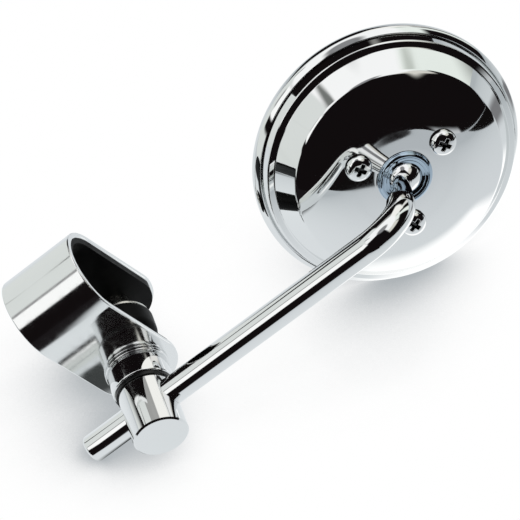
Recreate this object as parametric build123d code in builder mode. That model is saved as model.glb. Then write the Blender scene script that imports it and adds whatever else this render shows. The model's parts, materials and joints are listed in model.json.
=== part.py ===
import os
from math import asin, atan2, cos, degrees, radians, sin, sqrt, tan

from build123d import *

# A clamp-on motorcycle mirror. The bar runs along X through the origin, the mirror hangs out at +X,
# the clamp bolt lies along Y below the bar, and the back of the mirror looks towards -Y.

# Handlebar clamp
bar_diameter = 25.4
liner_thickness = 1.8
strap_thickness = 2.0
strap_width = 30.0
bolt_drop = 32.4
liner_margin = 1.0
strap_edge_round = 0.5

# Clamp bolt, its nut and washers
bolt_diameter = 8.0
bolt_tip = 2.5
bolt_tip_chamfer = 1.0
nut_flats = 13.0
nut_height = 6.5
nut_chamfer = 0.9
flat_washer_diameter = 17.0
flat_washer_thickness = 1.6
lock_washer_diameter = 14.4
lock_washer_thickness = 2.0
lock_washer_split = 1.2

# Spacers on the bolt between the strap's legs
lower_bush_diameter = 23.0
lower_bush_length = 17.0
lower_bush_round = 1.5
bush_head_length = 11.0
bush_neck_diameter = 14.0
bush_washer_diameter = 21.5
bush_washer_thickness = 1.2
upper_sleeve_diameter = 11.6

# Swivel post
collar_washer_diameter = 22.8
collar_washer_thickness = 1.2
collar_diameter = 22.0
collar_length = 8.75
collar_shoulder_round = 1.6
collar_rim_round = 0.6
seat_ring_diameter = 20.8
seat_ring_thickness = 1.5
cap_diameter = 19.6
cap_length = 19.8
cap_chamfer = 0.6
stem_hole_wall = 1.0

# Bent stem and its ball
stem_diameter = 10.0
stem_overhang = 27.0
stem_reach = 108.9
stem_bend_radius = 14.0
stub_length = 44.0
stub_straight = 3.0
stem_roll = -33.0
stem_end_round = 1.2
taper_swell = 0.35
neck_diameter = 6.2
ball_diameter = 13.5
spigot_diameter = 4.5
spigot_length = 5.0

# Mirror head: heights are measured along its axis from the ball centre, positive towards its back
head_turn = 13.9
head_lift = 16.7
shell_thickness = 1.0
panel_height = 2.2
panel_flat_radius = 18.0
shoulder_radius = 42.0
shoulder_angle = 26.6
panel_edge_radius = 3.0
wall_angle = 56.0
wall_drop = 7.35
ledge_width = 2.4
skirt_drop = 4.6
skirt_flare = 0.9
flange_width = 1.1
ledge_root_round = 0.7
ledge_inner_round = 0.4
skirt_root_round = 0.35
boss_radius = 9.7
boss_wall = 0.4
boss_inner_round = 0.15
boss_root_round = 0.45
boss_dish_angle = 12.0

# Rim, glass and what lies behind it
rim_wall = 1.15
rim_bead_radius = 2.3
rim_back_lip = 0.7
rim_front_lip = 0.8
rim_lip_width = 2.7
glass_thickness = 2.4
glass_crown = 0.9
glass_edge_gap = 1.0
gasket_lip = 0.5
gasket_width = 3.2
pad_margin = 4.1
pad_thickness = 2.0

# Ball socket: friction cup, retainer plate and the three tension screws
cup_wall = 1.55
cup_rim_height = -2.0
cup_drain_radius = 2.0
plate_radius = 24.0
plate_thickness = 1.5
plate_height = -4.5
screw_count = 3
screw_circle_radius = 17.8
screw_start_angle = -4.75
screw_diameter = 5.0
screw_head_diameter = 9.5
screw_head_height = 3.0
screw_head_round = 1.9
screw_length = 14.0
recess_span = 5.2
recess_width = 1.15
recess_depth = 1.7
screw_nut_flats = 8.0
screw_nut_height = 4.0

# Fits
running_clearance = 0.05
face_clearance = 0.05
hole_clearance = 0.25
ball_clearance = 0.1

# Derived places of the clamp
bar_radius = bar_diameter / 2
liner_outer_radius = bar_radius + liner_thickness
strap_outer_radius = liner_outer_radius + strap_thickness
bolt_radius = bolt_diameter / 2
guide_radius = bolt_radius + running_clearance
loose_radius = bolt_radius + hole_clearance

# Places along the post: distances from the bar's axis towards -Y, and towards +Y on the nut's side
post_plane = Plane(origin=(0, 0, -bolt_drop), x_dir=(1, 0, 0), z_dir=(0, -1, 0))
collar_washer_place = strap_outer_radius + face_clearance
collar_place = collar_washer_place + collar_washer_thickness
seat_ring_place = collar_place + collar_length
cap_place = seat_ring_place + seat_ring_thickness
flat_washer_place = -strap_outer_radius - flat_washer_thickness
lock_washer_place = flat_washer_place - lock_washer_thickness
nut_place = lock_washer_place - face_clearance - nut_height
bolt_tip_place = nut_place - bolt_tip
lower_bush_place = bar_radius - lower_bush_length
bush_washer_place = lower_bush_place - bush_washer_thickness

# Places of the stem
stem_radius = stem_diameter / 2
stem_hole_radius = stem_radius + running_clearance
stem_offset = cap_place + stem_hole_wall + stem_hole_radius
stub_direction = Vector(0, cos(radians(stem_roll)), sin(radians(stem_roll)))
elbow = Vector(stem_reach, -stem_offset, -bolt_drop)
ball_centre = elbow + stub_direction * stub_length
ball_radius = ball_diameter / 2
neck_radius = neck_diameter / 2
neck_place = sqrt(ball_radius**2 - neck_radius**2)
stem_plane = Plane(
    origin=(0, -stem_offset, -bolt_drop), x_dir=(1, 0, 0), z_dir=Vector(1, 0, 0).cross(stub_direction)
)
stub_axis = Axis(elbow, stub_direction)

# Planes of the head: one square to its axis, one through its axis with the radius along its own x
head_axis_direction = Vector(
    sin(radians(head_turn)) * cos(radians(head_lift)),
    -cos(radians(head_turn)) * cos(radians(head_lift)),
    sin(radians(head_lift)),
)
head_level_direction = Vector(cos(radians(head_turn)), sin(radians(head_turn)), 0)
head_plane = Plane(origin=ball_centre, x_dir=head_level_direction, z_dir=head_axis_direction)
head_section = Plane(
    origin=ball_centre,
    x_dir=head_level_direction,
    z_dir=head_level_direction.cross(head_axis_direction),
)
head_axis = Axis(ball_centre, head_axis_direction)

# Heights and radii in the head that follow from the sizes above
boss_round = boss_inner_round + shell_thickness
ledge_round = ledge_inner_round + shell_thickness
boss_top = panel_height + boss_root_round + boss_wall + boss_round
boss_dish = radians(boss_dish_angle)
shoulder_slope = radians(shoulder_angle)
wall_slope = radians(wall_angle)
wall_top = (
    panel_height
    - shoulder_radius * (1 - cos(shoulder_slope))
    - panel_edge_radius * (cos(shoulder_slope) - cos(wall_slope))
)
wall_top_radius = (
    panel_flat_radius
    + shoulder_radius * sin(shoulder_slope)
    + panel_edge_radius * (sin(wall_slope) - sin(shoulder_slope))
)
ledge_height = wall_top - wall_drop
ledge_radius = wall_top_radius + wall_drop / tan(wall_slope) + ledge_width
flange_height = ledge_height - skirt_drop
flange_radius = ledge_radius + skirt_flare + flange_width
flange_front = flange_height - shell_thickness
glass_back = flange_front - gasket_lip
glass_front = glass_back - glass_thickness
rim_lip_back = glass_front - gasket_lip
rim_front = rim_lip_back - rim_front_lip
rim_back = flange_height + rim_back_lip
skirt_lean = atan2(skirt_flare, skirt_drop)
rim_outer_radius = flange_radius + rim_wall
rim_bead_centre_radius = rim_outer_radius - rim_bead_radius
rim_lip_inner_radius = flange_radius - rim_lip_width
glass_radius = flange_radius - glass_edge_gap
gasket_inner_radius = flange_radius - gasket_width
pad_radius = gasket_inner_radius - pad_margin
cup_inner_radius = ball_radius + running_clearance
cup_outer_radius = cup_inner_radius + cup_wall
dish_inner_radius = cup_outer_radius + running_clearance
dish_outer_radius = dish_inner_radius + plate_thickness
plate_back = plate_height - plate_thickness
screw_radius = screw_diameter / 2
screw_hole_radius = screw_radius + hole_clearance
section_reach = 2 * dish_outer_radius


def u_section(inner_radius, outer_radius, leg_length, start):
    """Section of a U-shaped strip round the bar, open downwards."""
    with BuildSketch(Plane.YZ.offset(start)) as section:
        Circle(outer_radius)
        with Locations((0, -leg_length / 2)):
            Rectangle(2 * outer_radius, leg_length)
        Circle(inner_radius, mode=Mode.SUBTRACT)
        with Locations((0, -leg_length / 2)):
            Rectangle(2 * inner_radius, leg_length, mode=Mode.SUBTRACT)
    return section.sketch


def tongue_outline(width):
    """Side outline of a U-shaped strip: straight over the bar, half round about the bolt."""
    with BuildSketch(Plane.XZ) as outline:
        with Locations((0, -bolt_drop)):
            Circle(width / 2)
            Rectangle(width, bolt_drop + strap_outer_radius, align=(Align.CENTER, Align.MIN))
    return outline.sketch


def post_ring(place, diameter, bore_radius):
    """Flat ring about the clamp bolt."""
    with BuildSketch(post_plane.offset(place)) as ring:
        Circle(diameter / 2)
        Circle(bore_radius, mode=Mode.SUBTRACT)
    return ring.sketch


def polar_circles(height, radius):
    """Circles on the tension screws' places, at a height on the head's axis."""
    with BuildSketch(head_plane.offset(height)) as circles:
        with PolarLocations(screw_circle_radius, screw_count, start_angle=screw_start_angle):
            Circle(radius)
    return circles.sketch


def skirt_at(height, depth):
    """Radius of the shell's leaning skirt at a height, at a depth below its outer face."""
    return ledge_radius + (ledge_height - height) * tan(skirt_lean) - depth / cos(skirt_lean)


def boss_at(radius, depth):
    """Height of the boss's dished face at a radius, at a depth below its outer face."""
    return boss_top - (boss_radius - radius) * tan(boss_dish) - depth / cos(boss_dish)


def shell_line(depth):
    """Section line of the pressed shell at a depth below its outer face, from boss to flange."""
    ledge = ledge_height - depth
    flange = flange_height - depth
    with BuildLine() as section_line:
        boss = FilletPolyline(
            (neck_radius, boss_at(neck_radius, depth)),
            (boss_radius - depth, boss_at(boss_radius - depth, depth)),
            (boss_radius - depth, panel_height - depth),
            (panel_flat_radius, panel_height - depth),
            radius=(boss_round - depth, boss_root_round + depth),
        )
        shoulder = JernArc(boss @ 1, (1, 0), shoulder_radius - depth, -shoulder_angle)
        panel_edge = JernArc(
            shoulder @ 1, shoulder % 1, panel_edge_radius - depth, shoulder_angle - wall_angle
        )
        wall_start = panel_edge @ 1
        FilletPolyline(
            wall_start,
            (wall_start.X + (wall_start.Y - ledge) / tan(wall_slope), ledge),
            (skirt_at(ledge, depth), ledge),
            (skirt_at(flange, depth), flange),
            (flange_radius, flange),
            radius=(ledge_root_round + depth, ledge_round - depth, skirt_root_round + depth),
        )
    return section_line.line


# Chromed strap, folded from flat strip with half-round tongues
with BuildPart() as clamp_strap:
    extrude(
        u_section(liner_outer_radius, strap_outer_radius, bolt_drop + strap_width / 2, -strap_width / 2),
        amount=strap_width,
    )
    extrude(tongue_outline(strap_width), amount=2 * strap_outer_radius, both=True, mode=Mode.INTERSECT)
    strap_rims = clamp_strap.edges().filter_by(Axis.X, reverse=True)
    strap_rims = strap_rims.filter_by(lambda edge: edge.length > 2 * strap_thickness)
    fillet(strap_rims, radius=min(strap_edge_round, strap_thickness / 3))
    with BuildSketch(post_plane.offset(-strap_outer_radius)):
        Circle(loose_radius)
    extrude(amount=2 * strap_outer_radius, mode=Mode.SUBTRACT)
clamp_strap.part.label = "clamp_strap"

# Rubber liner, glued inside the strap
liner_width = strap_width - 2 * liner_margin
with BuildPart() as rubber_liner:
    extrude(
        u_section(bar_radius, liner_outer_radius, bolt_drop + liner_width / 2, -liner_width / 2),
        amount=liner_width,
    )
    extrude(tongue_outline(liner_width), amount=2 * strap_outer_radius, both=True, mode=Mode.INTERSECT)
    with BuildSketch(post_plane.offset(-liner_outer_radius)):
        Circle(loose_radius)
    extrude(amount=2 * liner_outer_radius, mode=Mode.SUBTRACT)
rubber_liner.part.label = "rubber_liner"

# Spacers on the bolt between the legs: rubber bush, washer and sleeve
with BuildPart() as lower_bush:
    extrude(post_ring(lower_bush_place, lower_bush_diameter, guide_radius), amount=bush_head_length)
    bush_rims = lower_bush.edges().filter_by(GeomType.CIRCLE).sort_by(SortBy.RADIUS)[-2:].sort_by(Axis.Y)
    fillet(bush_rims[-1], radius=lower_bush_round)
    fillet(bush_rims[0], radius=(lower_bush_diameter - bush_neck_diameter) / 2 - face_clearance)
    extrude(post_ring(lower_bush_place, bush_neck_diameter, guide_radius), amount=lower_bush_length)
lower_bush.part.label = "lower_bush"

with BuildPart() as bush_washer:
    extrude(post_ring(bush_washer_place, bush_washer_diameter, guide_radius), amount=bush_washer_thickness)
bush_washer.part.label = "bush_washer"

with BuildPart() as upper_sleeve:
    extrude(
        post_ring(-bar_radius, upper_sleeve_diameter, guide_radius), amount=bush_washer_place + bar_radius
    )
upper_sleeve.part.label = "upper_sleeve"

# Washers under the nut
with BuildPart() as flat_washer:
    extrude(post_ring(flat_washer_place, flat_washer_diameter, loose_radius), amount=flat_washer_thickness)
flat_washer.part.label = "flat_washer"

with BuildPart() as lock_washer:
    extrude(post_ring(lock_washer_place, lock_washer_diameter, loose_radius), amount=lock_washer_thickness)
    with BuildSketch(post_plane.offset(lock_washer_place)):
        with Locations((0, lock_washer_diameter / 2)):
            Rectangle(lock_washer_split, lock_washer_diameter)
    extrude(amount=lock_washer_thickness, mode=Mode.SUBTRACT)
lock_washer.part.label = "lock_washer"

# Cross-drilled bolt: round cap head, shank and plain tip
with BuildPart() as clamp_bolt:
    with BuildSketch(post_plane.offset(cap_place)):
        Circle(cap_diameter / 2)
    extrude(amount=cap_length)
    chamfer(clamp_bolt.faces().sort_by(Axis.Y)[0].edges(), length=cap_chamfer)
    with BuildSketch(post_plane.offset(bolt_tip_place)):
        Circle(bolt_radius)
    extrude(amount=cap_place - bolt_tip_place)
    chamfer(clamp_bolt.faces().sort_by(Axis.Y)[-1].edges(), length=bolt_tip_chamfer)
    with BuildSketch(Plane.YZ.offset(-cap_diameter)):
        with Locations((-stem_offset, -bolt_drop)):
            Circle(stem_hole_radius)
    extrude(amount=2 * cap_diameter, mode=Mode.SUBTRACT)
clamp_bolt.part.label = "clamp_bolt"

# Hexagon nut on the bolt
with BuildPart() as clamp_nut:
    with BuildSketch(post_plane.offset(nut_place)):
        RegularPolygon(nut_flats / 2, 6, major_radius=False)
    extrude(amount=nut_height)
    with BuildSketch(post_plane.offset(nut_place)):
        Circle(nut_flats / 2 - nut_chamfer / 3)
    extrude(amount=nut_height, taper=-60, mode=Mode.INTERSECT)
    with BuildSketch(post_plane.offset(nut_place)):
        Circle(bolt_radius)
    extrude(amount=nut_height, mode=Mode.SUBTRACT)
clamp_nut.part.label = "clamp_nut"

# Washer, collar and black seat ring of the post
with BuildPart() as collar_washer:
    extrude(
        post_ring(collar_washer_place, collar_washer_diameter, guide_radius), amount=collar_washer_thickness
    )
collar_washer.part.label = "collar_washer"

with BuildPart() as post_collar:
    extrude(post_ring(collar_place, collar_diameter, guide_radius), amount=collar_length)
    collar_rims = post_collar.edges().filter_by(GeomType.CIRCLE).sort_by(SortBy.RADIUS)[-2:].sort_by(Axis.Y)
    fillet(collar_rims[-1], radius=collar_shoulder_round)
    fillet(collar_rims[0], radius=collar_rim_round)
post_collar.part.label = "post_collar"

with BuildPart() as seat_ring:
    extrude(post_ring(seat_ring_place, seat_ring_diameter, guide_radius), amount=seat_ring_thickness)
seat_ring.part.label = "seat_ring"

# Bent rod with a tapered neck and a spigot for the ball
ball_flat = stub_length - neck_place
spigot_place = ball_flat + spigot_length
taper_place = stem_bend_radius + stub_straight
with BuildPart() as stem_rod:
    with BuildLine(stem_plane) as stem_path:
        FilletPolyline(
            (-stem_overhang, 0),
            (stem_reach, 0),
            (stem_reach, taper_place),
            radius=stem_bend_radius,
        )
    with BuildSketch(Plane.YZ.offset(-stem_overhang)):
        with Locations((-stem_offset, -bolt_drop)):
            Circle(stem_radius)
    sweep(path=stem_path.wire())
    fillet(stem_rod.faces().sort_by(Axis.X)[0].edges(), radius=stem_end_round)
    with BuildSketch(stem_plane):
        with BuildLine():
            taper_start = (stem_reach + stem_radius, taper_place)
            taper_end = (stem_reach + neck_radius, ball_flat)
            Polyline(
                taper_end,
                (stem_reach + spigot_diameter / 2, ball_flat),
                (stem_reach + spigot_diameter / 2, spigot_place),
                (stem_reach, spigot_place),
                (stem_reach, taper_place),
                taper_start,
            )
            SagittaArc(taper_start, taper_end, taper_swell)
        make_face()
    revolve(axis=stub_axis)
stem_rod.part.label = "stem_rod"

# Turned ball, flat where the neck seats, drilled for the spigot
with BuildPart() as ball_end:
    with BuildSketch(stem_plane):
        with BuildLine():
            flat_angle = degrees(asin(neck_place / ball_radius))
            ball_arc = CenterArc((stem_reach, stub_length), ball_radius, -flat_angle, 90 + flat_angle)
            Polyline(
                ball_arc @ 0,
                (stem_reach + spigot_diameter / 2, ball_flat),
                (stem_reach + spigot_diameter / 2, spigot_place),
                (stem_reach, spigot_place),
                ball_arc @ 1,
            )
        make_face()
    revolve(axis=stub_axis)
ball_end.part.label = "ball_end"

# Nylon friction cup under the ball
with BuildPart() as friction_cup:
    with BuildSketch(head_section):
        Circle(cup_outer_radius)
        Circle(cup_inner_radius, mode=Mode.SUBTRACT)
        with Locations((cup_drain_radius, cup_rim_height)):
            Rectangle(section_reach, section_reach, align=(Align.MIN, Align.MAX), mode=Mode.INTERSECT)
    revolve(axis=head_axis)
friction_cup.part.label = "friction_cup"

# Pressed head shell: boss round the ball, flat panel, curved shoulder, wall, ledge, skirt and flange
with BuildPart() as head_shell:
    with BuildSketch(head_section):
        with BuildLine():
            add(shell_line(0))
            add(shell_line(shell_thickness))
            Line((neck_radius, boss_at(neck_radius, 0)), (neck_radius, boss_at(neck_radius, shell_thickness)))
            Line((flange_radius, flange_height), (flange_radius, flange_front))
        make_face()
    revolve(axis=head_axis)
    with BuildSketch(head_section):
        Circle(ball_radius + ball_clearance)
        Rectangle(section_reach, 2 * section_reach, align=(Align.MIN, Align.CENTER), mode=Mode.INTERSECT)
    revolve(axis=head_axis, mode=Mode.SUBTRACT)
    extrude(polar_circles(boss_top, screw_hole_radius), amount=plate_height - boss_top, mode=Mode.SUBTRACT)
head_shell.part.label = "head_shell"

# Rolled rim that holds the glass to the shell's flange
with BuildPart() as rim_bezel:
    with BuildSketch(head_section):
        with BuildLine():
            back_bead = CenterArc(
                (rim_bead_centre_radius, rim_back - rim_bead_radius), rim_bead_radius, 0, 75
            )
            front_bead = CenterArc(
                (rim_bead_centre_radius, rim_front + rim_bead_radius), rim_bead_radius, 270, 90
            )
            Line(front_bead @ 1, back_bead @ 0)
            Polyline(
                back_bead @ 1,
                ((back_bead @ 1).X, flange_height),
                (flange_radius, flange_height),
                (flange_radius, rim_lip_back),
                (rim_lip_inner_radius, rim_lip_back),
                (rim_lip_inner_radius, rim_front),
                front_bead @ 0,
            )
        make_face()
    revolve(axis=head_axis)
rim_bezel.part.label = "rim_bezel"

# Slightly convex mirror glass
with BuildPart() as mirror_glass:
    with BuildSketch(head_section):
        with BuildLine():
            Polyline(
                (0, glass_front - glass_crown),
                (0, glass_back),
                (glass_radius, glass_back),
                (glass_radius, glass_front),
                (gasket_inner_radius, glass_front),
            )
            crown_radius = (gasket_inner_radius**2 + glass_crown**2) / (2 * glass_crown)
            RadiusArc((gasket_inner_radius, glass_front), (0, glass_front - glass_crown), crown_radius)
        make_face()
    revolve(axis=head_axis)
mirror_glass.part.label = "mirror_glass"

# Rubber channel round the edge of the glass
with BuildPart() as glass_gasket:
    with BuildSketch(head_section):
        with Locations((gasket_inner_radius, flange_front)):
            Rectangle(
                flange_radius - gasket_inner_radius, flange_front - rim_lip_back, align=(Align.MIN, Align.MAX)
            )
        with Locations((0, glass_back)):
            Rectangle(glass_radius, glass_thickness, align=(Align.MIN, Align.MAX), mode=Mode.SUBTRACT)
    revolve(axis=head_axis)
glass_gasket.part.label = "glass_gasket"

# Foam pad behind the glass
with BuildPart() as backing_pad:
    with BuildSketch(head_plane.offset(glass_back)):
        Circle(pad_radius)
    extrude(amount=pad_thickness)
backing_pad.part.label = "backing_pad"

# Pressed retainer plate with a dish for the cup
with BuildPart() as retainer_plate:
    with BuildSketch(head_section):
        with Locations((0, plate_height)):
            Rectangle(plate_radius, plate_thickness, align=(Align.MIN, Align.MAX))
        Circle(dish_outer_radius)
        Circle(dish_inner_radius, mode=Mode.SUBTRACT)
        with Locations((0, plate_height)):
            Rectangle(plate_radius, section_reach, align=(Align.MIN, Align.MAX), mode=Mode.INTERSECT)
    revolve(axis=head_axis)
    extrude(polar_circles(plate_height, screw_hole_radius), amount=-plate_thickness, mode=Mode.SUBTRACT)
retainer_plate.part.label = "retainer_plate"

# Pan-head tension screws with cross recesses
with BuildPart() as tension_screws:
    extrude(polar_circles(panel_height, screw_head_diameter / 2), amount=screw_head_height)
    fillet(tension_screws.edges().group_by(head_axis)[-1], radius=screw_head_round)
    with BuildSketch(head_plane.offset(panel_height + screw_head_height)):
        with PolarLocations(screw_circle_radius, screw_count, start_angle=screw_start_angle):
            Rectangle(recess_span, recess_width)
            Rectangle(recess_width, recess_span)
    extrude(amount=-recess_depth, taper=12, mode=Mode.SUBTRACT)
    extrude(polar_circles(panel_height, screw_radius), amount=-screw_length)
tension_screws.part.label = "tension_screws"

# Nuts on the tension screws, behind the retainer plate
with BuildPart() as screw_nuts:
    with BuildSketch(head_plane.offset(plate_back)):
        with PolarLocations(screw_circle_radius, screw_count, start_angle=screw_start_angle):
            RegularPolygon(screw_nut_flats / 2, 6, major_radius=False)
            Circle(screw_radius, mode=Mode.SUBTRACT)
    extrude(amount=-screw_nut_height)
screw_nuts.part.label = "screw_nuts"

os.makedirs("parts", exist_ok=True)
for piece in (
    clamp_strap, rubber_liner, lower_bush, bush_washer, upper_sleeve, flat_washer, lock_washer,
    clamp_bolt, clamp_nut, collar_washer, post_collar, seat_ring,
    stem_rod, ball_end, friction_cup,
    head_shell, rim_bezel, mirror_glass, glass_gasket, backing_pad, retainer_plate,
    tension_screws, screw_nuts,
):
    export_step(piece.part, f"parts/{piece.part.label}.step")
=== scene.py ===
import json
import math

import bmesh
import bpy
from mathutils import Matrix, Vector


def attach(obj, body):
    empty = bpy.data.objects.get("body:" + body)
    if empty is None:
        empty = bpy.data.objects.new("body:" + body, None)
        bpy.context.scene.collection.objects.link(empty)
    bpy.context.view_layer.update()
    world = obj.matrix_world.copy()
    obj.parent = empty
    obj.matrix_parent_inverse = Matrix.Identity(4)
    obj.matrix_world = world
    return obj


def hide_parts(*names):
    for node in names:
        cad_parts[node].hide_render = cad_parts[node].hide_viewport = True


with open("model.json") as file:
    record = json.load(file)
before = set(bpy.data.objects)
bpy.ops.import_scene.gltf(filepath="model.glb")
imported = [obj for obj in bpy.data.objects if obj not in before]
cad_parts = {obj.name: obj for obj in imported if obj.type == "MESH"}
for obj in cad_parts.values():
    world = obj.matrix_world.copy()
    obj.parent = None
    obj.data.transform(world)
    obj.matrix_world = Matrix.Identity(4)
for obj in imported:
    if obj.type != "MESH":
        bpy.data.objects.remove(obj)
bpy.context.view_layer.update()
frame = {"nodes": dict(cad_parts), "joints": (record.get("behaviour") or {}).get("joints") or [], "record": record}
nodes = frame["nodes"]
joints = {joint["name"]: joint for joint in frame["joints"]}
slots = {part["node"]: part["material_slot"] for part in frame["record"]["subparts"]}

mm = 0.001
weld = 0.2e-6  # metres within which points of a mesh are joined
poleRadius = 1e-6  # millimetres, below which a turned ring is one point
turnSteps = {"head": 256, "ring": 160, "bush": 128, "ball": 128, "rod": 96, "screw": 144}

# places and directions read from the joints
ballCentre = Vector(joints["head_tilt"]["pos_m"])
headAcross = Vector(joints["head_tilt"]["axis"]).normalized()
headUpright = Vector(joints["head_pan"]["axis"]).normalized()
headAxis = headAcross.cross(headUpright).normalized()  # points out of the back of the mirror
headLevel = Vector((-headAxis.y, headAxis.x, 0)).normalized()
postOrigin = Vector((0, 0, joints["post_swivel"]["pos_m"][2]))
postAxis = Vector((0, -1, 0))

# the table that the mirror lies on, as a direction and a height in the clamp's frame
table = {
    "up": Vector((0.51887, -0.05713, 0.85294)).normalized(),
    "level": -0.0436,  # metres along up from the bar's centre
    "reach": 12.0,
    # painted shade: the reflected table tone darkens from near beside the mirror to far away
    "near": (0.91, 0.945, 0.965),  # reflected tones beside the mirror and a metre or more away
    "far": (0.50, 0.535, 0.56),
    "fade": 1.1,  # square root of the metres at which the far tone is reached
    "shadow": (0.42, 0.45, 0.47),
    "shadowReach": 0.07,
    "shadowLean": (0.45, 0.35),  # rightward and forward, for each length up
    "shadowEdge": (0.25, 0.85),
}

camera = {
    "eye": Vector((0.38049, -0.69145, 0.75480)),
    "back": Vector((0.29616, -0.62493, 0.72232)).normalized(),
    "up": Vector((0.56885, 0.72291, 0.39219)).normalized(),
    "lens": 221.7,  # millimetres
    "sensor": 36,
    "clip": (0.05, 20),
}


def axesMatrix(first, second, third):
    return Matrix((first, second, third)).transposed().to_4x4()


def makeCamera():
    data = bpy.data.cameras.new("studioCamera")
    data.lens = camera["lens"]
    data.sensor_width = camera["sensor"]
    data.clip_start, data.clip_end = camera["clip"]
    eye = bpy.data.objects.new("studioCamera", data)
    bpy.context.scene.collection.objects.link(eye)
    right = camera["up"].cross(camera["back"]).normalized()
    upright = camera["back"].cross(right)
    eye.matrix_world = Matrix.Translation(camera["eye"]) @ axesMatrix(right, upright, camera["back"])
    bpy.context.scene.camera = eye


makeCamera()
bpy.context.scene.view_settings.view_transform = "Standard"
print("camera set")

# compass of the studio: forward runs away from the camera over the table
forward = -camera["back"] + camera["back"].dot(table["up"]) * table["up"]
forward.normalize()
rightward = forward.cross(table["up"])


def link(tree, source, target):
    tree.links.new(source, target)


def addNode(tree, kind, **values):
    node = tree.nodes.new(kind)
    for name, value in values.items():
        setattr(node, name, value)
    return node


def feed(tree, socket, value):
    if isinstance(value, bpy.types.NodeSocket):
        link(tree, value, socket)
    else:
        socket.default_value = value


def feedColour(tree, socket, value):
    feed(tree, socket, value if isinstance(value, bpy.types.NodeSocket) else (*value, 1))


def mathNode(tree, operation, first, second=None):
    node = addNode(tree, "ShaderNodeMath", operation=operation)
    feed(tree, node.inputs[0], first)
    if second is not None:
        feed(tree, node.inputs[1], second)
    return node.outputs[0]


def along(tree, vector, direction):
    node = addNode(tree, "ShaderNodeVectorMath", operation="DOT_PRODUCT")
    link(tree, vector, node.inputs[0])
    node.inputs[1].default_value = direction
    return node.outputs["Value"]


def ramp(tree, value, low, high):
    node = addNode(tree, "ShaderNodeMapRange", interpolation_type="SMOOTHSTEP", clamp=True)
    link(tree, value, node.inputs["Value"])
    node.inputs["From Min"].default_value = low
    node.inputs["From Max"].default_value = high
    return node.outputs["Result"]


def window(tree, value, low, high, edge):
    rise = ramp(tree, value, low - edge, low + edge)
    fall = ramp(tree, value, high + edge, high - edge)
    return mathNode(tree, "MULTIPLY", rise, fall)


def mixColour(tree, share, first, second):
    node = addNode(tree, "ShaderNodeMix", data_type="RGBA")
    feed(tree, node.inputs["Factor"], share)
    feedColour(tree, node.inputs["A"], first)
    feedColour(tree, node.inputs["B"], second)
    return node.outputs["Result"]


# the studio round the table, in degrees: azimuth from forward to the right, and height over the table
studio = {
    "room": (0.0065, 0.0048, 0.0052),
    "panels": [
        {"azimuth": (-132, 128), "height": (49, 79), "edge": 5, "glow": (1.10, 1.10, 1.10)},
        {"azimuth": (-400, 400), "height": (79, 120), "edge": 5, "glow": (0.28, 0.28, 0.29)},
        {"azimuth": (-107, -36), "height": (30, 52), "edge": 2, "glow": (0.80, 0.83, 0.81)},
        {"azimuth": (-107, -63), "height": (-40, 32), "edge": 2, "glow": (0.80, 0.83, 0.81)},
        {"azimuth": (-125, -105), "height": (-40, 19), "edge": 2, "glow": (0.80, 0.83, 0.81)},
        {"azimuth": (-140.5, -107), "height": (28, 50), "edge": 1.5, "glow": (1.15, 1.15, 1.14)},
        {"azimuth": (-109, -102), "height": (33, 46), "edge": 2, "glow": (0.33, 0.33, 0.33)},
        {"azimuth": (42, 80), "height": (40, 55), "edge": 3, "glow": (0.95, 1.0, 0.95)},
        {"azimuth": (52, 63), "height": (-40, 43), "edge": 2, "glow": (0.95, 1.0, 0.95)},
        {"azimuth": (33, 41), "height": (-40, 27), "edge": 2, "glow": (0.86, 0.85, 0.82)},
        {"azimuth": (84, 128), "height": (37, 55), "edge": 3, "glow": (0.78, 0.76, 0.70)},
        {"azimuth": (3, 44), "height": (25, 55), "edge": 3, "glow": (1.05, 1.04, 1.0)},
        {"azimuth": (-36, 3), "height": (43, 52), "edge": 3, "glow": (0.40, 0.40, 0.39)},
        {"azimuth": (44, 53), "height": (44, 52), "edge": 3, "glow": (0.62, 0.66, 0.61)},
        {"azimuth": (-87, -80), "height": (50, 60), "edge": 2, "glow": (0.20, 0.21, 0.20)},
        {"azimuth": (137, 148), "height": (-2, 1.2), "edge": 1.2, "glow": (0.60, 0.62, 0.64)},
    ],
}


def makeWorld():
    world = bpy.data.worlds.new("studioWorld")
    bpy.context.scene.world = world
    world.use_nodes = True
    tree = world.node_tree
    tree.nodes.clear()
    out = addNode(tree, "ShaderNodeOutputWorld")
    gaze = addNode(tree, "ShaderNodeTexCoord").outputs["Generated"]
    height = mathNode(tree, "ARCSINE", along(tree, gaze, table["up"]))
    height = mathNode(tree, "DEGREES", height)
    azimuth = mathNode(tree, "ARCTAN2", along(tree, gaze, rightward), along(tree, gaze, forward))
    azimuth = mathNode(tree, "DEGREES", azimuth)
    glow = studio["room"]
    for panel in studio["panels"]:
        wide = window(tree, azimuth, *panel["azimuth"], panel["edge"])
        tall = window(tree, height, *panel["height"], panel["edge"])
        glow = mixColour(tree, mathNode(tree, "MULTIPLY", wide, tall), glow, panel["glow"])
    studioLight = addNode(tree, "ShaderNodeBackground")
    link(tree, glow, studioLight.inputs["Color"])
    white = addNode(tree, "ShaderNodeBackground")
    white.inputs["Color"].default_value = (1, 1, 1, 1)
    path = addNode(tree, "ShaderNodeLightPath")
    pick = addNode(tree, "ShaderNodeMixShader")
    link(tree, path.outputs["Is Camera Ray"], pick.inputs["Fac"])
    link(tree, studioLight.outputs[0], pick.inputs[1])
    link(tree, white.outputs[0], pick.inputs[2])
    link(tree, pick.outputs[0], out.inputs["Surface"])


makeWorld()
print("studio lit:", len(studio["panels"]), "panels")
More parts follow.
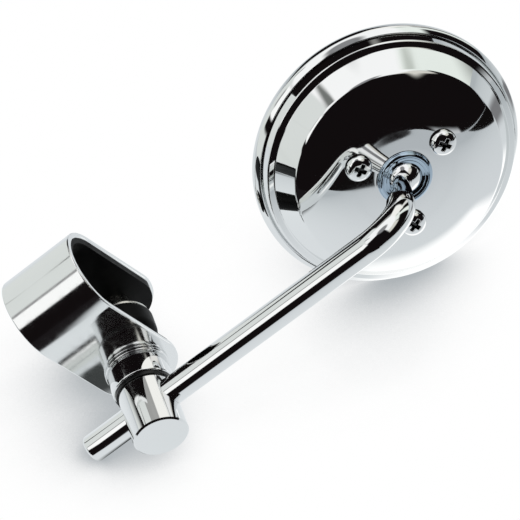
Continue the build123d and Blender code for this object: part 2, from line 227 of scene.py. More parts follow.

# painted shade and painted light on the table that the chrome reflects, in metres rightward and forward of the
# clamp;
# lean moves a patch sideways for each metre that it runs towards the camera
paintedShadeAndLightPatches = [
    {"across": (-12, 0.01), "away": (-12, -0.104), "edge": 0.014, "paintedLightTone": (0.012, 0.010, 0.011)},
    {"across": (-40, -0.14), "away": (-12, -0.07), "edge": 0.02, "lean": -1.883, "paintedLightTone": (0.62, 0.65, 0.67)},
    # painted light: a bright streak on the table
    {"across": (0.10, 0.185), "away": (-0.010, 0.075), "edge": 0.010, "paintedLightTone": (1.25, 1.25, 1.25)},
    {"across": (0.225, 0.34), "away": (0.08, 0.125), "edge": 0.014, "paintedLightTone": (0.22, 0.22, 0.23)},
    {"across": (0.445, 6), "away": (-3, 0.10), "edge": 0.012, "lean": 1.05, "paintedLightTone": (0.006, 0.005, 0.005)},
    # painted shadow: the table's shade under the post
    {"across": (0.0035, 0.03), "away": (-0.042, -0.0225), "edge": 0.0045, "paintedLightTone": (0.055, 0.06, 0.06)},
]
# painted dark wedge on the table, a dark reflection open towards the camera: its tip, and the sideways run of its
# two edges
paintedShadeWedge = {
    "tip": (0.403, -0.60), "near": 0.015, "far": 0.456, "edge": 0.004, "paintedLightTone": (0.006, 0.005, 0.005),
}

# white card left of the clamp, out of the picture, by its two ends on the table and its height
cards = [
    {
        "name": "leftCard", "left": (-0.20, 0.09), "right": (-0.079, 0.171), "height": 0.165,
        "glow": (0.80, 0.83, 0.81),
    },
]


def stageMaterial(name):
    material = bpy.data.materials.new(name)
    material.use_nodes = True
    material.node_tree.nodes.clear()
    return material, material.node_tree


def showToChrome(tree, glow, seen):
    # reflections meet the glow on the upper side, and the camera meets what seen gives
    out = addNode(tree, "ShaderNodeOutputMaterial")
    lit = addNode(tree, "ShaderNodeEmission")
    feedColour(tree, lit.inputs["Color"], glow)
    clear = addNode(tree, "ShaderNodeBsdfTransparent")
    underside = addNode(tree, "ShaderNodeMixShader")
    link(tree, addNode(tree, "ShaderNodeNewGeometry").outputs["Backfacing"], underside.inputs["Fac"])
    link(tree, lit.outputs[0], underside.inputs[1])
    link(tree, clear.outputs[0], underside.inputs[2])
    pick = addNode(tree, "ShaderNodeMixShader")
    link(tree, addNode(tree, "ShaderNodeLightPath").outputs["Is Camera Ray"], pick.inputs["Fac"])
    link(tree, underside.outputs[0], pick.inputs[1])
    link(tree, seen, pick.inputs[2])
    link(tree, pick.outputs[0], out.inputs["Surface"])


def standStage(name, corners, material):
    mesh = bpy.data.meshes.new(name)
    mesh.from_pydata(corners, [], [(0, 1, 2, 3)])
    mesh.materials.append(material)
    piece = bpy.data.objects.new(name, mesh)
    bpy.context.scene.collection.objects.link(piece)
    return piece


def tableShadow(tree):
    near = addNode(tree, "ShaderNodeAmbientOcclusion", samples=16)
    near.inputs["Distance"].default_value = table["shadowReach"]
    right, ahead = table["shadowLean"]
    facing = addNode(tree, "ShaderNodeCombineXYZ")
    for socket, value in zip(facing.inputs, (table["up"] + rightward * right + forward * ahead).normalized()):
        socket.default_value = value
    link(tree, facing.outputs["Vector"], near.inputs["Normal"])
    bare = ramp(tree, near.outputs["AO"], *table["shadowEdge"])
    seen = addNode(tree, "ShaderNodeBsdfTransparent")
    link(tree, mixColour(tree, bare, table["shadow"], (1, 1, 1)), seen.inputs["Color"])
    return seen.outputs[0]


# painted shade and light on the table that the chrome reflects: darker far away, with dark and bright patches and
# a dark wedge
def paintedTableShade(tree):
    spot = addNode(tree, "ShaderNodeNewGeometry").outputs["Position"]
    across = along(tree, spot, rightward)
    away = along(tree, spot, forward)
    reach = mathNode(tree, "ADD", mathNode(tree, "POWER", across, 2.0), mathNode(tree, "POWER", away, 2.0))
    reach = mathNode(tree, "MINIMUM", mathNode(tree, "POWER", reach, 0.25), table["fade"])
    shade = mixColour(tree, mathNode(tree, "DIVIDE", reach, table["fade"]), table["near"], table["far"])
    for patch in paintedShadeAndLightPatches:
        leant = mathNode(tree, "ADD", across, mathNode(tree, "MULTIPLY", away, patch.get("lean", 0.0)))
        wide = window(tree, leant, *patch["across"], patch["edge"])
        deep = window(tree, away, *patch["away"], patch["edge"])
        shade = mixColour(tree, mathNode(tree, "MULTIPLY", wide, deep), shade, patch["paintedLightTone"])
    tip, edge = paintedShadeWedge["tip"], paintedShadeWedge["edge"]
    run = mathNode(tree, "SUBTRACT", tip[1], away)
    nearSide = mathNode(tree, "ADD", tip[0], mathNode(tree, "MULTIPLY", run, paintedShadeWedge["near"]))
    farSide = mathNode(tree, "ADD", tip[0], mathNode(tree, "MULTIPLY", run, paintedShadeWedge["far"]))
    rise = ramp(tree, mathNode(tree, "SUBTRACT", across, nearSide), -edge, edge)
    fall = ramp(tree, mathNode(tree, "SUBTRACT", farSide, across), -edge, edge)
    return mixColour(tree, mathNode(tree, "MULTIPLY", rise, fall), shade, paintedShadeWedge["paintedLightTone"])


def makeFloor():
    material, tree = stageMaterial("tableTop")
    showToChrome(tree, paintedTableShade(tree), tableShadow(tree))
    reach = table["reach"]
    middle = table["up"] * table["level"]
    corners = []
    for away, across in ((-1, -1), (-1, 1), (1, 1), (1, -1)):
        corners.append(middle + forward * (away * reach) + rightward * (across * reach))
    standStage("tableTop", corners, material)


def makeCard(card):
    material, tree = stageMaterial(card["name"])
    showToChrome(tree, card["glow"], addNode(tree, "ShaderNodeBsdfTransparent").outputs[0])
    corners = []
    for across, away in (card["left"], card["right"]):
        corners.append(rightward * across + forward * away + table["up"] * table["level"])
    rise = table["up"] * card["height"]
    corners += [corners[1] + rise, corners[0] + rise]
    standStage(card["name"], corners, material).visible_shadow = False


makeFloor()
for card in cards:
    makeCard(card)
print("table laid, cards stood:", len(cards))

# finishes: wave and grain are heights in metres, scales are features to the metre
chromeLook = {
    "tint": (0.83, 0.835, 0.84), "haze": (0.80, 0.815, 0.81), "hazeScale": 22,
    "gloss": (0.015, 0.05), "glossScale": 60, "wave": 0.000022, "waveScale": 38,
}
strapLook = dict(chromeLook, gloss=(0.07, 0.13), glossScale=420, wave=0.00003, waveScale=60)
bossLook = {"tint": (0.42, 0.52, 0.62), "edge": (9.85, 10.2)}  # edge in millimetres from the head's axis
# painted shade: the screw's cross recess is tinted dark
screwLook = {"paintedRecessShade": (0.05, 0.05, 0.05), "recessShadeRamp": (0.1, 0.6), "wave": 0.000006, "waveScale": 400}
zincLook = {
    "tint": (0.62, 0.62, 0.60), "haze": (0.70, 0.69, 0.63), "hazeScale": 160,
    "gloss": (0.16, 0.32), "glossScale": 900,
    "ringScale": 500, "ringDepth": 0.000004, "ringWobble": 1.5,
}
rubberLook = {
    "tint": (0.0035, 0.0035, 0.0037), "haze": (0.008, 0.008, 0.008), "hazeScale": 120,
    "gloss": (0.34, 0.50), "glossScale": 260, "grain": 0.00002, "grainScale": 1500, "specular": 0.07,
}
nylonLook = dict(rubberLook, tint=(0.003, 0.003, 0.003), gloss=(0.22, 0.36), grain=0.00001, specular=0.35)
whiteLook = dict(
    rubberLook, tint=(0.74, 0.73, 0.69), haze=(0.66, 0.65, 0.60), gloss=(0.30, 0.45), specular=0.5,
)
foamLook = dict(
    rubberLook, tint=(0.05, 0.05, 0.05), haze=(0.09, 0.09, 0.09), gloss=(0.8, 0.95), grain=0.0002,
)
glassLook = {
    "tint": (0.90, 0.915, 0.92), "haze": (0.87, 0.90, 0.90), "hazeScale": 14,
    "gloss": (0.004, 0.012), "glossScale": 30, "wave": 0.000004, "waveScale": 25,
    "coat": 0.6, "coatGloss": 0.01,
}
noiseSpread = (0.3, 0.7)  # where most of a noise's values lie


def newMaterial(name):
    material = bpy.data.materials.new(name)
    material.use_nodes = True
    tree = material.node_tree
    return material, tree, tree.nodes["Principled BSDF"]


def place(tree):
    return addNode(tree, "ShaderNodeTexCoord").outputs["Object"]


def placeFrom(tree, origin):
    offset = addNode(tree, "ShaderNodeVectorMath", operation="SUBTRACT")
    link(tree, place(tree), offset.inputs[0])
    offset.inputs[1].default_value = origin
    return offset.outputs[0]


def noise(tree, scale, detail=3.0):
    node = addNode(tree, "ShaderNodeTexNoise", noise_dimensions="3D")
    link(tree, place(tree), node.inputs["Vector"])
    node.inputs["Scale"].default_value = scale
    node.inputs["Detail"].default_value = detail
    return node.outputs["Fac"]


def between(tree, value, low, high):
    node = addNode(tree, "ShaderNodeMapRange", clamp=True)
    link(tree, value, node.inputs["Value"])
    node.inputs["From Min"].default_value = noiseSpread[0]
    node.inputs["From Max"].default_value = noiseSpread[1]
    node.inputs["To Min"].default_value = low
    node.inputs["To Max"].default_value = high
    return node.outputs["Result"]


def bump(tree, shader, height, depth):
    node = addNode(tree, "ShaderNodeBump")
    node.inputs["Strength"].default_value = 1
    node.inputs["Distance"].default_value = depth
    link(tree, height, node.inputs["Height"])
    link(tree, node.outputs["Normal"], shader.inputs["Normal"])


def surface(tree, shader, look, metal):
    shader.inputs["Metallic"].default_value = metal
    haze = between(tree, noise(tree, look["hazeScale"]), 0, 1)
    tint = mixColour(tree, haze, look["tint"], look["haze"])
    link(tree, tint, shader.inputs["Base Color"])
    gloss = between(tree, noise(tree, look["glossScale"], 4.0), *look["gloss"])
    link(tree, gloss, shader.inputs["Roughness"])
    return tint


def chrome(name, look=chromeLook):
    material, tree, shader = newMaterial(name)
    surface(tree, shader, look, 1)
    bump(tree, shader, noise(tree, look["waveScale"], 0.0), look["wave"])
    return material


def bossChrome(name):
    material, tree, shader = newMaterial(name)
    tint = surface(tree, shader, chromeLook, 1)
    bump(tree, shader, noise(tree, chromeLook["waveScale"], 0.0), chromeLook["wave"])
    offset = placeFrom(tree, ballCentre)
    squares = []
    for direction in (headAcross, headUpright):
        run = along(tree, offset, direction)
        squares.append(mathNode(tree, "MULTIPLY", run, run))
    radius = mathNode(tree, "DIVIDE", mathNode(tree, "SQRT", mathNode(tree, "ADD", *squares)), mm)
    # the boss round the ball is tinted darker and bluer than the rest of the head
    inside = ramp(tree, radius, bossLook["edge"][1], bossLook["edge"][0])
    link(tree, mixColour(tree, inside, tint, bossLook["tint"]), shader.inputs["Base Color"])
    return material


def screwChrome(name):
    material, tree, shader = newMaterial(name)
    tint = surface(tree, shader, chromeLook, 1)
    # painted shade: the base colour darkens inside the cross recess
    recess = addNode(tree, "ShaderNodeAttribute", attribute_name="recess").outputs["Fac"]
    depth = ramp(tree, recess, *screwLook["recessShadeRamp"])
    link(tree, mixColour(tree, depth, tint, screwLook["paintedRecessShade"]), shader.inputs["Base Color"])
    bump(tree, shader, noise(tree, screwLook["waveScale"], 2.0), screwLook["wave"])
    return material


def zinc(name, look=zincLook):
    material, tree, shader = newMaterial(name)
    surface(tree, shader, look, 1)
    rings = addNode(tree, "ShaderNodeTexWave", wave_type="RINGS", rings_direction="Y")
    link(tree, placeFrom(tree, postOrigin), rings.inputs["Vector"])
    rings.inputs["Scale"].default_value = look["ringScale"]
    rings.inputs["Distortion"].default_value = look["ringWobble"]
    bump(tree, shader, rings.outputs["Fac"], look["ringDepth"])
    return material


def moulded(name, look):
    material, tree, shader = newMaterial(name)
    surface(tree, shader, look, 0)
    shader.inputs["Specular IOR Level"].default_value = look["specular"]
    bump(tree, shader, noise(tree, look["grainScale"], 2.0), look["grain"])
    return material


def silvered(name, look=glassLook):
    material, tree, shader = newMaterial(name)
    surface(tree, shader, look, 1)
    shader.inputs["Coat Weight"].default_value = look["coat"]
    shader.inputs["Coat Roughness"].default_value = look["coatGloss"]
    bump(tree, shader, noise(tree, look["waveScale"], 0.0), look["wave"])
    return material


finishes = {
    "chrome": chrome("polishedChrome"),
    "zinc_steel": zinc("zincSteel"),
    "rubber": moulded("blackRubber", rubberLook),
    "black_nylon": moulded("blackNylon", nylonLook),
    "white_nylon": moulded("whiteNylon", whiteLook),
    "foam": moulded("greyFoam", foamLook),
    "mirror": silvered("silveredGlass"),
}
headFinish = bossChrome("pressedChrome")
strapFinish = chrome("rolledChrome", strapLook)
screwFinish = screwChrome("screwChrome")
for name, node in nodes.items():
    node.data.materials.clear()
    node.data.materials.append(strapFinish if name == "clamp_strap" else finishes[slots[name]])
print("finishes on", len(nodes), "nodes")


# shapes that are turned or swept, finer than the solids so that reflections run clean
def arc(centre, radius, start, stop, step=4.0):
    count = max(2, math.ceil(abs(stop - start) / step))
    angles = [math.radians(start + (stop - start) * k / count) for k in range(count + 1)]
    return [Vector((centre[0] + radius * math.cos(a), centre[1] + radius * math.sin(a))) for a in angles]


def roundCorners(points, rounds, step=6.0):
    points = [Vector(point) for point in points]
    line = [points[0]]
    for before, corner, after, radius in zip(points, points[1:], points[2:], rounds):
        if radius == 0:
            line.append(corner)
            continue
        back = (before - corner).normalized()
        ahead = (after - corner).normalized()
        half = back.angle(ahead) / 2
        centre = corner + (back + ahead).normalized() * (radius / math.sin(half))
        start = corner + back * (radius / math.tan(half)) - centre
        stop = corner + ahead * (radius / math.tan(half)) - centre
        turn = start.angle(stop)
        count = max(2, math.ceil(math.degrees(turn) / step))
        for k in range(count + 1):
            share = k / count
            swing = start * math.sin((1 - share) * turn) + stop * math.sin(share * turn)
            line.append(centre + swing / math.sin(turn))
    line.append(points[-1])
    return line


def stitch(name, rings):
    # rings are lists of points with the same count, or of one point at a pole
    mesh = bmesh.new()
    rows = [[mesh.verts.new(point) for point in ring] for ring in rings]
    for row, following in zip(rows, rows[1:]):
        count = max(len(row), len(following))
        for k in range(count):
            corners = []
            for vertex in (row[k % len(row)], row[(k + 1) % len(row)],
                           following[(k + 1) % len(following)], following[k % len(following)]):
                if vertex not in corners:
                    corners.append(vertex)
            if len(corners) > 2:
                mesh.faces.new(corners)
    bmesh.ops.remove_doubles(mesh, verts=mesh.verts, dist=weld)
    bmesh.ops.recalc_face_normals(mesh, faces=mesh.faces)
    data = bpy.data.meshes.new(name)
    mesh.to_mesh(data)
    mesh.free()
    return data


def ringPoints(middle, first, second, radius, steps):
    turns = [math.tau * k / steps for k in range(steps)]
    return [middle + (first * math.cos(turn) + second * math.sin(turn)) * radius for turn in turns]


def lathe(name, profile, origin, axis, steps, closed=False):
    # profile is radius and height in millimetres
    across = axis.orthogonal().normalized()
    side = axis.cross(across)
    rings = []
    for radius, height in list(profile) + ([profile[0]] if closed else []):
        middle = origin + axis * (height * mm)
        rings.append([middle] if radius < poleRadius else ringPoints(middle, across, side, radius * mm, steps))
    return stitch(name, rings)


def finishPiece(name, data, body, replaced, slot, material=None, sharp=32.0):
    data.materials.clear()
    data.materials.append(material or finishes[slot])
    data.shade_smooth()
    data.set_sharp_from_angle(angle=math.radians(sharp))
    piece = bpy.data.objects.new(name, data)
    bpy.context.scene.collection.objects.link(piece)
    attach(piece, body)
    if replaced:
        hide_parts(replaced)


# mirror head, in millimetres along its axis from the ball's centre, with its angles in degrees
head = {
    "panelHeight": 2.2, "panelFlat": 18.0, "shoulderRadius": 42.0, "shoulderAngle": 26.6, "panelEdge": 3.0,
    "dome": 0.3, "domeFrom": 10.0, "domeTo": 23.0, "wallAngle": 56.0, "wallDrop": 7.35,
    "ledgeWidth": 2.4, "ledgeRoot": 0.7, "ledgeRound": 0.8, "ledgeDish": -0.2,
    "skirtDrop": 4.6, "skirtFlare": 0.9, "skirtRoot": 0.35, "flangeWidth": 1.1, "shell": 1.0,
    "bossRadius": 9.7, "bossTop": 4.2, "bossDish": 12.0, "bossRound": 1.15, "bossRoot": 0.45,
    "rings": (6.95, 8.05), "ringWidth": 0.2, "ringHeight": 0.06,
    "lipRadius": 5.96, "lipInner": 6.5, "ballRadius": 6.75, "neckRadius": 3.1,
}
headSteps = {"ring": 5, "flat": 20, "shoulder": 40, "edge": 12, "innerEvery": 3}


def smooth(low, high, value):
    share = min(1.0, max(0.0, (value - low) / (high - low)))
    return share * share * (3 - 2 * share)


def offsetLine(line, depth):
    moved = []
    for k, point in enumerate(line):
        ahead = line[min(k + 1, len(line) - 1)] - line[max(k - 1, 0)]
        moved.append(point - Vector((-ahead.y, ahead.x)).normalized() * depth)
    return moved


def bossRidges(lip, dish):
    ridges = []
    half = headSteps["ring"]
    for ring in head["rings"]:
        for k in range(-half, half + 1):
            radius = ring + head["ringWidth"] * k / half
            lift = head["ringHeight"] * (1 + math.cos(math.pi * k / half)) / 2
            ridges.append(Vector((radius, lip[1] + (radius - lip[0]) * dish + lift)))
    return ridges


def panelLine(lip, slope):
    # from the ball's mouth over the boss and the flat to the end of the curved shoulder
    height, flat, bend = head["panelHeight"], head["panelFlat"], head["shoulderRadius"]
    slack = 0.001
    line = roundCorners(
        [lip, (head["bossRadius"], head["bossTop"]), (head["bossRadius"], height), (flat, height)],
        [head["bossRound"], head["bossRoot"]],
    )[:-1]
    root = line[-1].x
    for k in range(1, headSteps["flat"] + 1):
        line.append(Vector((root + (flat - root) * k / headSteps["flat"], height)))
    for k in range(1, headSteps["shoulder"] + 1):
        turn = slope * k / headSteps["shoulder"]
        line.append(Vector((flat + bend * math.sin(turn), height - bend * (1 - math.cos(turn)))))
    for point in line:  # the panel swells a little towards the boss
        if point.x >= head["bossRadius"] - slack and point.y < height + head["bossRoot"]:
            point.y += head["dome"] * smooth(head["domeTo"], head["domeFrom"], point.x)
    return line


def headProfile():
    dish = math.tan(math.radians(head["bossDish"]))
    slope = math.radians(head["shoulderAngle"])
    wall = math.radians(head["wallAngle"])
    lip = (head["lipRadius"], head["bossTop"] - (head["bossRadius"] - head["lipRadius"]) * dish)
    line = panelLine(lip, slope)
    shoulder = line[-1].copy()
    for k in range(1, headSteps["edge"] + 1):
        turn = slope + (wall - slope) * k / headSteps["edge"]
        line.append(shoulder + Vector((
            head["panelEdge"] * (math.sin(turn) - math.sin(slope)),
            -head["panelEdge"] * (math.cos(slope) - math.cos(turn)),
        )))
    start = line[-1]
    wallFoot = start.x + head["wallDrop"] / math.tan(wall)
    ledge = start.y - head["wallDrop"]
    ledgeRadius = wallFoot + head["ledgeWidth"]
    flange = ledge - head["skirtDrop"]
    flangeRadius = ledgeRadius + head["skirtFlare"] + head["flangeWidth"]
    line += roundCorners(
        [start, (wallFoot, ledge - head["ledgeDish"]), (ledgeRadius, ledge),
         (ledgeRadius + head["skirtFlare"], flange), (flangeRadius, flange)],
        [head["ledgeRoot"], head["ledgeRound"], head["skirtRoot"]],
    )[1:]
    inner = [point for point in offsetLine(line, head["shell"]) if point.x > head["lipInner"]]
    inner = inner[:-1:headSteps["innerEvery"]] + inner[-1:]
    return line[:1] + bossRidges(lip, dish) + line[1:], inner, flange, flangeRadius


outerLine, innerLine, flangeHeight, flangeRadius = headProfile()
shellProfile = outerLine + innerLine[::-1]
shellMesh = lathe("headShellDetailed", shellProfile, ballCentre, headAxis, turnSteps["head"], closed=True)
finishPiece("headShellDetailed", shellMesh, "head", "head_shell", "chrome", headFinish)

# rolled rim and the glass that it holds, in millimetres
rim = {
    "wall": 1.15, "bead": 2.3, "backLip": 0.7, "frontLip": 0.8, "lipWidth": 2.7, "wrap": 75.0, "flat": 0.65,
    "glass": 2.4, "crown": 0.9, "edgeGap": 1.0, "gasketLip": 0.5, "gasketWidth": 3.2,
}
glassBack = flangeHeight - head["shell"] - rim["gasketLip"]
glassFront = glassBack - rim["glass"]
lipBack = glassFront - rim["gasketLip"]
rimFront = lipBack - rim["frontLip"]
rimBack = flangeHeight + rim["backLip"]
beadMiddle = flangeRadius + rim["wall"] - rim["bead"]
backBead = arc((beadMiddle, rimBack - rim["bead"]), rim["bead"], 0, rim["wrap"])
for point in backBead:  # the rolled edge is flatter than a round bead
    share = (backBead[0].x - point.x) / (backBead[0].x - backBead[-1].x)
    chord = backBead[0].lerp(backBead[-1], share)
    point.y += (chord.y - point.y) * rim["flat"]
frontBead = arc((beadMiddle, rimFront + rim["bead"]), rim["bead"], 270, 360)
lipInner = flangeRadius - rim["lipWidth"]
rimProfile = backBead + [
    Vector((backBead[-1].x, flangeHeight)), Vector((flangeRadius, flangeHeight)),
    Vector((flangeRadius, lipBack)), Vector((lipInner, lipBack)), Vector((lipInner, rimFront)),
] + frontBead
rimMesh = lathe("rimBezelRolled", rimProfile, ballCentre, headAxis, turnSteps["head"], closed=True)
finishPiece("rimBezelRolled", rimMesh, "head", "rim_bezel", "chrome")

glassEdge = flangeRadius - rim["gasketWidth"]
crownRadius = (glassEdge**2 + rim["crown"] ** 2) / (2 * rim["crown"])
glassRadius = flangeRadius - rim["edgeGap"]
glassProfile = [Vector((0, glassBack)), Vector((glassRadius, glassBack)), Vector((glassRadius, glassFront))]
glassSteps = 24
for k in range(glassSteps + 1):
    radius = glassEdge * (1 - k / glassSteps)
    sag = crownRadius - math.sqrt(crownRadius**2 - radius**2)
    glassProfile.append(Vector((radius, glassFront - rim["crown"] + sag)))
glassMesh = lathe("mirrorGlassCrowned", glassProfile, ballCentre, headAxis, turnSteps["head"])
finishPiece("mirrorGlassCrowned", glassMesh, "head", "mirror_glass", "mirror")
print("head shell, rim and glass turned")

# stem rod, in millimetres along the rod from the post and along the stub from the elbow
stem = {
    "reach": 108.9, "overhang": 27.0, "radius": 5.0, "endRound": 1.2, "bend": 14.0, "straight": 3.0,
    "stub": 44.0, "neckSag": 0.35, "roll": -33.0,
}
stemSteps = {"end": 12, "rod": 25, "bend": 60, "neck": 24}
stubDirection = Vector((0, math.cos(math.radians(stem["roll"])), math.sin(math.radians(stem["roll"]))))
rodDirection = Vector((1, 0, 0))
elbow = ballCentre - stubDirection * (stem["stub"] * mm)
neckPlace = math.sqrt(head["ballRadius"] ** 2 - head["neckRadius"] ** 2)


def stemStops():
    # places along the rod, each with its heading and radius
    def at(run, up):
        return elbow + rodDirection * ((run - stem["reach"]) * mm) + stubDirection * (up * mm)

    thick, thin = stem["radius"], head["neckRadius"]
    stops = [(at(-stem["overhang"], 0), rodDirection, 0)]
    for k in range(stemSteps["end"] + 1):
        turn = math.radians(90 * k / stemSteps["end"])
        run = -stem["overhang"] + stem["endRound"] * (1 - math.cos(turn))
        stops.append((at(run, 0), rodDirection, thick - stem["endRound"] * (1 - math.sin(turn))))
    bendStart = stem["reach"] - stem["bend"]
    roundEnd = -stem["overhang"] + stem["endRound"]
    for k in range(1, stemSteps["rod"]):
        run = roundEnd + (bendStart + stem["overhang"]) * k / stemSteps["rod"]
        stops.append((at(run, 0), rodDirection, thick))
    for k in range(stemSteps["bend"] + 1):
        turn = math.radians(90 * k / stemSteps["bend"])
        point = at(bendStart + stem["bend"] * math.sin(turn), stem["bend"] * (1 - math.cos(turn)))
        stops.append((point, rodDirection * math.cos(turn) + stubDirection * math.sin(turn), thick))
    low, high = stem["bend"] + stem["straight"], stem["stub"] - neckPlace
    for k in range(stemSteps["neck"] + 1):
        share = k / stemSteps["neck"]
        radius = thick + (thin - thick) * share - stem["neckSag"] * 4 * share * (1 - share)
        stops.append((at(stem["reach"], low + (high - low) * share), stubDirection, radius))
    stops.append((at(stem["reach"], high), stubDirection, 0))
    return stops


def stemRings():
    sideways = rodDirection.cross(stubDirection)
    rings = []
    for middle, heading, radius in stemStops():
        other = heading.cross(sideways)
        ring = ringPoints(middle, sideways, other, radius * mm, turnSteps["rod"])
        rings.append(ring if radius else [middle])
    return rings


finishPiece("stemRodBent", stitch("stemRodBent", stemRings()), "stem", "stem_rod", "chrome")

ballStart = math.degrees(math.atan2(-neckPlace, head["neckRadius"]))
ballProfile = [Vector((0, -neckPlace))] + arc((0, 0), head["ballRadius"], ballStart, 90, 2.5)
ballMesh = lathe("ballEndTurned", ballProfile, ballCentre, stubDirection, turnSteps["ball"])
finishPiece("ballEndTurned", ballMesh, "stem", "ball_end", "chrome")
print("stem bent")

# rings of the swivel post and of the clamp's spacers, in millimetres along the bolt from the bar's centre
boltRadius = 4.05
post = [
    {
        "name": "collarWasherRounded", "node": "collar_washer", "body": "post",
        "radius": 11.4, "from": 16.55, "to": 17.75, "rounds": (0.5, 0.5),
    },
    {
        "name": "postCollarTurned", "node": "post_collar", "body": "post",
        "radius": 11.0, "from": 17.75, "to": 26.5, "rounds": (1.6, 0.6),
    },
    {
        "name": "seatRingMoulded", "node": "seat_ring", "body": "post",
        "radius": 10.4, "from": 26.5, "to": 28.0, "rounds": (0.25, 0.25),
    },
    {
        "name": "bushWasherRounded", "node": "bush_washer", "body": "clamp",
        "radius": 10.75, "from": -5.5, "to": -4.3, "rounds": (0.35, 0.35),
    },
]
for ring in post:
    low, high, radius = ring["from"], ring["to"], ring["radius"]
    corners = [(boltRadius, low), (radius, low), (radius, high), (boltRadius, high)]
    profile = roundCorners(corners, ring["rounds"])
    ringMesh = lathe(ring["name"], profile, postOrigin, postAxis, turnSteps["ring"], closed=True)
    finishPiece(ring["name"], ringMesh, ring["body"], ring["node"], slots[ring["node"]])

bush = {"radius": 11.5, "neck": 7.0, "from": -4.3, "shoulder": 6.7, "to": 12.7, "rounds": (1.5, 4.4, 0, 0)}
bushProfile = roundCorners(
    [(boltRadius, bush["from"]), (bush["radius"], bush["from"]), (bush["radius"], bush["shoulder"]),
     (bush["neck"], bush["shoulder"]), (bush["neck"], bush["to"]), (boltRadius, bush["to"])],
    bush["rounds"],
)
bushMesh = lathe("lowerBushMoulded", bushProfile, postOrigin, postAxis, turnSteps["bush"], closed=True)
finishPiece("lowerBushMoulded", bushMesh, "clamp", "lower_bush", "rubber")
print("post and spacers turned:", len(post) + 1)

# tension screw with a pan head and a cross recess, made once and set three times by geometry nodes
screw = {
    "headRadius": 4.75, "headHeight": 3.0, "domePower": 3.2, "shankRadius": 2.5, "shank": 14.0, "edge": 0.55,
    "armLength": 2.5, "armWidth": 0.72, "recess": 1.75, "lean": 0.34, "outerLean": 0.119, "sharp": 50,
    "rows": 60, "rowSpread": 0.9,
    "count": 3, "circle": 17.8, "start": -4.75, "seed": 7,
}


def screwCut(x, y):
    # 1 inside the arms of the cross and 0 outside
    cut = 0.0
    for long, wide in ((abs(x), abs(y)), (abs(y), abs(x))):
        reach = 1 - smooth(screw["armLength"] - 2 * screw["lean"], screw["armLength"], long)
        width = 1 - smooth(screw["armWidth"] - screw["lean"], screw["armWidth"] + screw["outerLean"], wide)
        cut = max(cut, reach * width)
    return cut


def screwHeight(x, y):
    radius = math.hypot(x, y) / screw["headRadius"]
    bulge = math.sqrt(max(0.0, 1 - radius ** screw["domePower"]))
    dome = screw["edge"] + (screw["headHeight"] - screw["edge"]) * bulge
    return dome - screw["recess"] * screwCut(x, y)


def screwMesh():
    steps, rows = turnSteps["screw"], screw["rows"]
    rings = [[Vector((0, 0, screwHeight(0, 0) * mm))]]
    for row in range(1, rows + 1):
        radius = screw["headRadius"] * math.sin(math.pi / 2 * (row / rows) ** screw["rowSpread"])
        ring = []
        for k in range(steps):
            turn = math.tau * k / steps
            x, y = radius * math.cos(turn), radius * math.sin(turn)
            ring.append(Vector((x, y, screwHeight(x, y))) * mm)
        rings.append(ring)
    wide, narrow, foot = screw["headRadius"], screw["shankRadius"], -screw["shank"]
    for radius, height in ((wide, 0), (narrow, 0), (narrow, foot)):
        middle = Vector((0, 0, height * mm))
        rings.append(ringPoints(middle, Vector((1, 0, 0)), Vector((0, 1, 0)), radius * mm, steps))
    rings.append([Vector((0, 0, foot * mm))])
    data = stitch("screwOnce", rings)
    # recess mask, used by the screw's finish to paint shade into the cross
    shade = data.attributes.new("recess", "FLOAT", "POINT")
    for vertex, value in zip(data.vertices, shade.data):
        value.value = screwCut(vertex.co.x / mm, vertex.co.y / mm) if vertex.co.z > 0 else 0
    data.shade_smooth()
    data.set_sharp_from_angle(angle=math.radians(screw["sharp"]))
    return data


def newGroup(name, inputs):
    group = bpy.data.node_groups.new(name, "GeometryNodeTree")
    group.interface.new_socket("Geometry", in_out="OUTPUT", socket_type="NodeSocketGeometry")
    sockets = {}
    for label, kind in inputs:
        sockets[label] = group.interface.new_socket(label, in_out="INPUT", socket_type=kind).identifier
    return group, sockets, addNode(group, "NodeGroupInput"), addNode(group, "NodeGroupOutput")


def bake(name, group, sockets, values):
    holder = bpy.data.objects.new(name + "Holder", bpy.data.meshes.new(name + "Holder"))
    bpy.context.scene.collection.objects.link(holder)
    modifier = holder.modifiers.new("nodes", "NODES")
    modifier.node_group = group
    for label, value in values.items():
        modifier[sockets[label]] = value
    graph = bpy.context.evaluated_depsgraph_get()
    graph.update()
    data = bpy.data.meshes.new_from_object(holder.evaluated_get(graph))
    data.name = name
    bpy.data.objects.remove(holder)
    return data


def paintOut(group, geometry, given, result):
    solid = addNode(group, "GeometryNodeRealizeInstances")
    link(group, geometry, solid.inputs["Geometry"])
    paint = addNode(group, "GeometryNodeSetMaterial")
    link(group, solid.outputs["Geometry"], paint.inputs["Geometry"])
    link(group, given.outputs["Finish"], paint.inputs["Material"])
    link(group, paint.outputs["Geometry"], result.inputs["Geometry"])


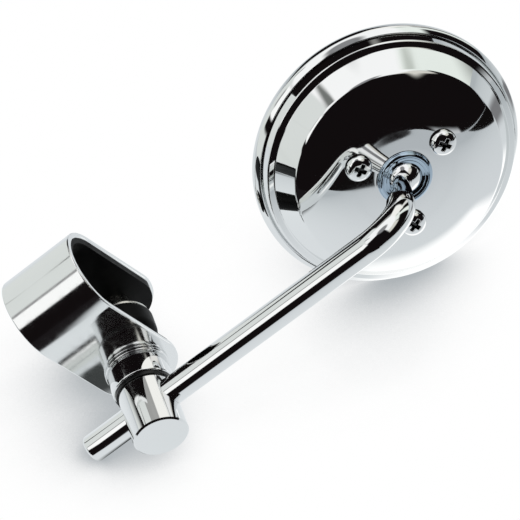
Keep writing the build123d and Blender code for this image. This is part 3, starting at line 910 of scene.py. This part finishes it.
def screwGroup():
    group, sockets, given, result = newGroup("screwCircle", [
        ("Count", "NodeSocketInt"), ("Circle", "NodeSocketFloat"), ("Start", "NodeSocketFloat"),
        ("Screw", "NodeSocketObject"), ("Seed", "NodeSocketInt"), ("Finish", "NodeSocketMaterial"),
    ])
    circle = addNode(group, "GeometryNodeMeshCircle")
    link(group, given.outputs["Count"], circle.inputs["Vertices"])
    link(group, given.outputs["Circle"], circle.inputs["Radius"])
    turn = addNode(group, "ShaderNodeCombineXYZ")
    link(group, given.outputs["Start"], turn.inputs["Z"])
    turned = addNode(group, "GeometryNodeTransform")
    link(group, circle.outputs["Mesh"], turned.inputs["Geometry"])
    link(group, turn.outputs["Vector"], turned.inputs["Rotation"])
    model = addNode(group, "GeometryNodeObjectInfo")
    link(group, given.outputs["Screw"], model.inputs["Object"])
    spin = addNode(group, "FunctionNodeRandomValue", data_type="FLOAT_VECTOR")
    spin.inputs["Min"].default_value = (0, 0, 0)
    spin.inputs["Max"].default_value = (0, 0, math.pi / 2)
    link(group, given.outputs["Seed"], spin.inputs["Seed"])
    repeat = addNode(group, "GeometryNodeInstanceOnPoints")
    link(group, turned.outputs["Geometry"], repeat.inputs["Points"])
    link(group, model.outputs["Geometry"], repeat.inputs["Instance"])
    link(group, spin.outputs["Value"], repeat.inputs["Rotation"])
    paintOut(group, repeat.outputs["Instances"], given, result)
    return group, sockets


def makeScrews():
    model = bpy.data.objects.new("screwOnce", screwMesh())
    bpy.context.scene.collection.objects.link(model)
    group, sockets = screwGroup()
    data = bake("tensionScrewSet", group, sockets, {
        "Count": screw["count"], "Circle": screw["circle"] * mm, "Start": math.radians(screw["start"]),
        "Screw": model, "Seed": screw["seed"], "Finish": screwFinish,
    })
    bpy.data.objects.remove(model)
    turn = axesMatrix(headLevel, headAxis.cross(headLevel), headAxis)
    data.transform(Matrix.Translation(ballCentre + headAxis * (head["panelHeight"] * mm)) @ turn)
    slot = slots["tension_screws"]
    finishPiece("tensionScrewSet", data, "head", "tension_screws", slot, screwFinish, screw["sharp"])


makeScrews()
print("screws set:", screw["count"])

# thread on the bolt's free end, beyond the nut, in millimetres along the bolt from the bar's centre
thread = {
    "radius": 4.0, "pitch": 1.25, "from": -26.75, "to": -28.4, "ridge": 0.30, "sink": 0.16, "sharp": 60,
    "steps": 64, "ridgeSteps": 8,
}


def threadGroup():
    group, sockets, given, result = newGroup("threadRidge", [
        ("Turns", "NodeSocketFloat"), ("Radius", "NodeSocketFloat"), ("Length", "NodeSocketFloat"),
        ("Ridge", "NodeSocketFloat"), ("Finish", "NodeSocketMaterial"),
    ])
    helix = addNode(group, "GeometryNodeCurveSpiral")
    helix.inputs["Resolution"].default_value = thread["steps"]
    link(group, given.outputs["Turns"], helix.inputs["Rotations"])
    link(group, given.outputs["Radius"], helix.inputs["Start Radius"])
    link(group, given.outputs["Radius"], helix.inputs["End Radius"])
    link(group, given.outputs["Length"], helix.inputs["Height"])
    section = addNode(group, "GeometryNodeCurvePrimitiveCircle")
    section.inputs["Resolution"].default_value = thread["ridgeSteps"]
    link(group, given.outputs["Ridge"], section.inputs["Radius"])
    ridge = addNode(group, "GeometryNodeCurveToMesh")
    link(group, helix.outputs["Curve"], ridge.inputs["Curve"])
    link(group, section.outputs["Curve"], ridge.inputs["Profile Curve"])
    ridge.inputs["Fill Caps"].default_value = True
    paintOut(group, ridge.outputs["Mesh"], given, result)
    return group, sockets


def makeThread():
    group, sockets = threadGroup()
    length = thread["from"] - thread["to"]
    data = bake("boltThreadRidge", group, sockets, {
        "Turns": length / thread["pitch"], "Radius": (thread["radius"] - thread["sink"]) * mm,
        "Length": length * mm, "Ridge": thread["ridge"] * mm, "Finish": finishes[slots["clamp_bolt"]],
    })
    across = postAxis.orthogonal().normalized()
    turn = axesMatrix(across, (-postAxis).cross(across), -postAxis)
    data.transform(Matrix.Translation(postOrigin + postAxis * (thread["from"] * mm)) @ turn)
    finishPiece("boltThreadRidge", data, "post", None, slots["clamp_bolt"], sharp=thread["sharp"])


makeThread()
print("thread cut")
